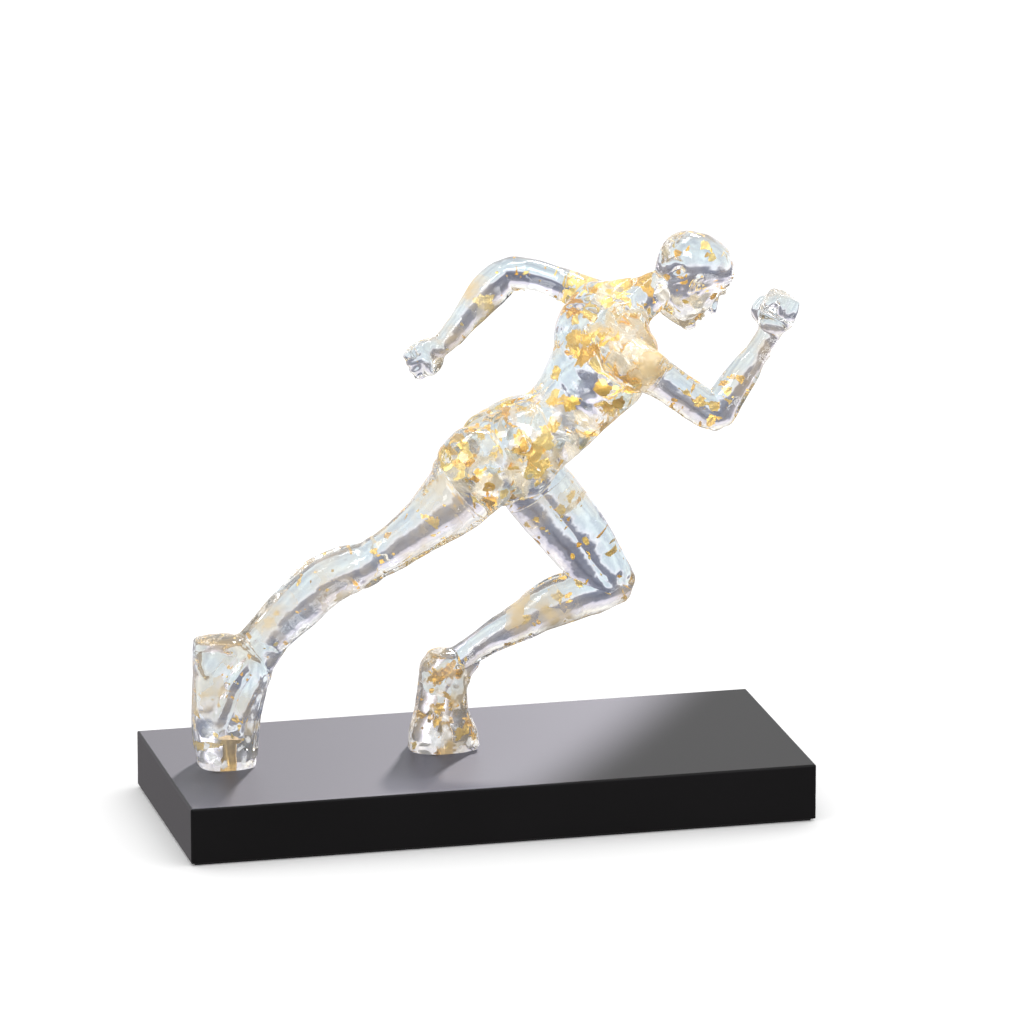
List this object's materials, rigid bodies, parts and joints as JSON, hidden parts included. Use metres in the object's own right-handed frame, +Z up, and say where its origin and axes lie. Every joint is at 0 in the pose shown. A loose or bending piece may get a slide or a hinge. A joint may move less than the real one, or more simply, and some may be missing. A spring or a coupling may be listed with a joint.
{
  "type": "figure trophy",
  "caption": "Trophy with a clear resin sprinter, gold leaf set in the casting, standing on the toes of both feet on a satin black rectangular plinth.",
  "frame": {"origin": "middle of the plinth's underside (the felt's lower face)", "axes": "+X the way the runner runs, along the plinth's length; +Y the runner's left; +Z up"},
  "size_m": [0.28, 0.12, 0.2564],
  "materials": {
    "clear_resin": "polished clear casting resin with gold leaf and pale foil set in it",
    "clear_acrylic": "polished clear rod, bonded",
    "black_lacquer": "satin black lacquer on board",
    "felt": "black needle felt",
    "brass": "machined, knurled",
    "plated_steel": "zinc plated",
    "gold_leaf": "crumpled gold leaf, set in the resin; shown only in the visual model",
    "pale_foil": "pale foil shards, set in the resin; shown only in the visual model"
  },
  "bodies": {
    "root": {"plinth_block": "black_lacquer", "felt_sheet": "felt", "trunk_casting": "clear_resin", "right_arm_casting": "clear_resin", "left_arm_casting": "clear_resin", "right_leg_casting": "clear_resin", "left_leg_casting": "clear_resin", "right_shoulder_dowel": "clear_acrylic", "left_shoulder_dowel": "clear_acrylic", "right_hip_dowel": "clear_acrylic", "left_hip_dowel": "clear_acrylic", "right_foot_insert": "brass", "left_foot_insert": "brass", "right_foot_screw": "plated_steel", "left_foot_screw": "plated_steel", "right_foot_washer": "plated_steel", "left_foot_washer": "plated_steel"}
  },
  "joints": []
}
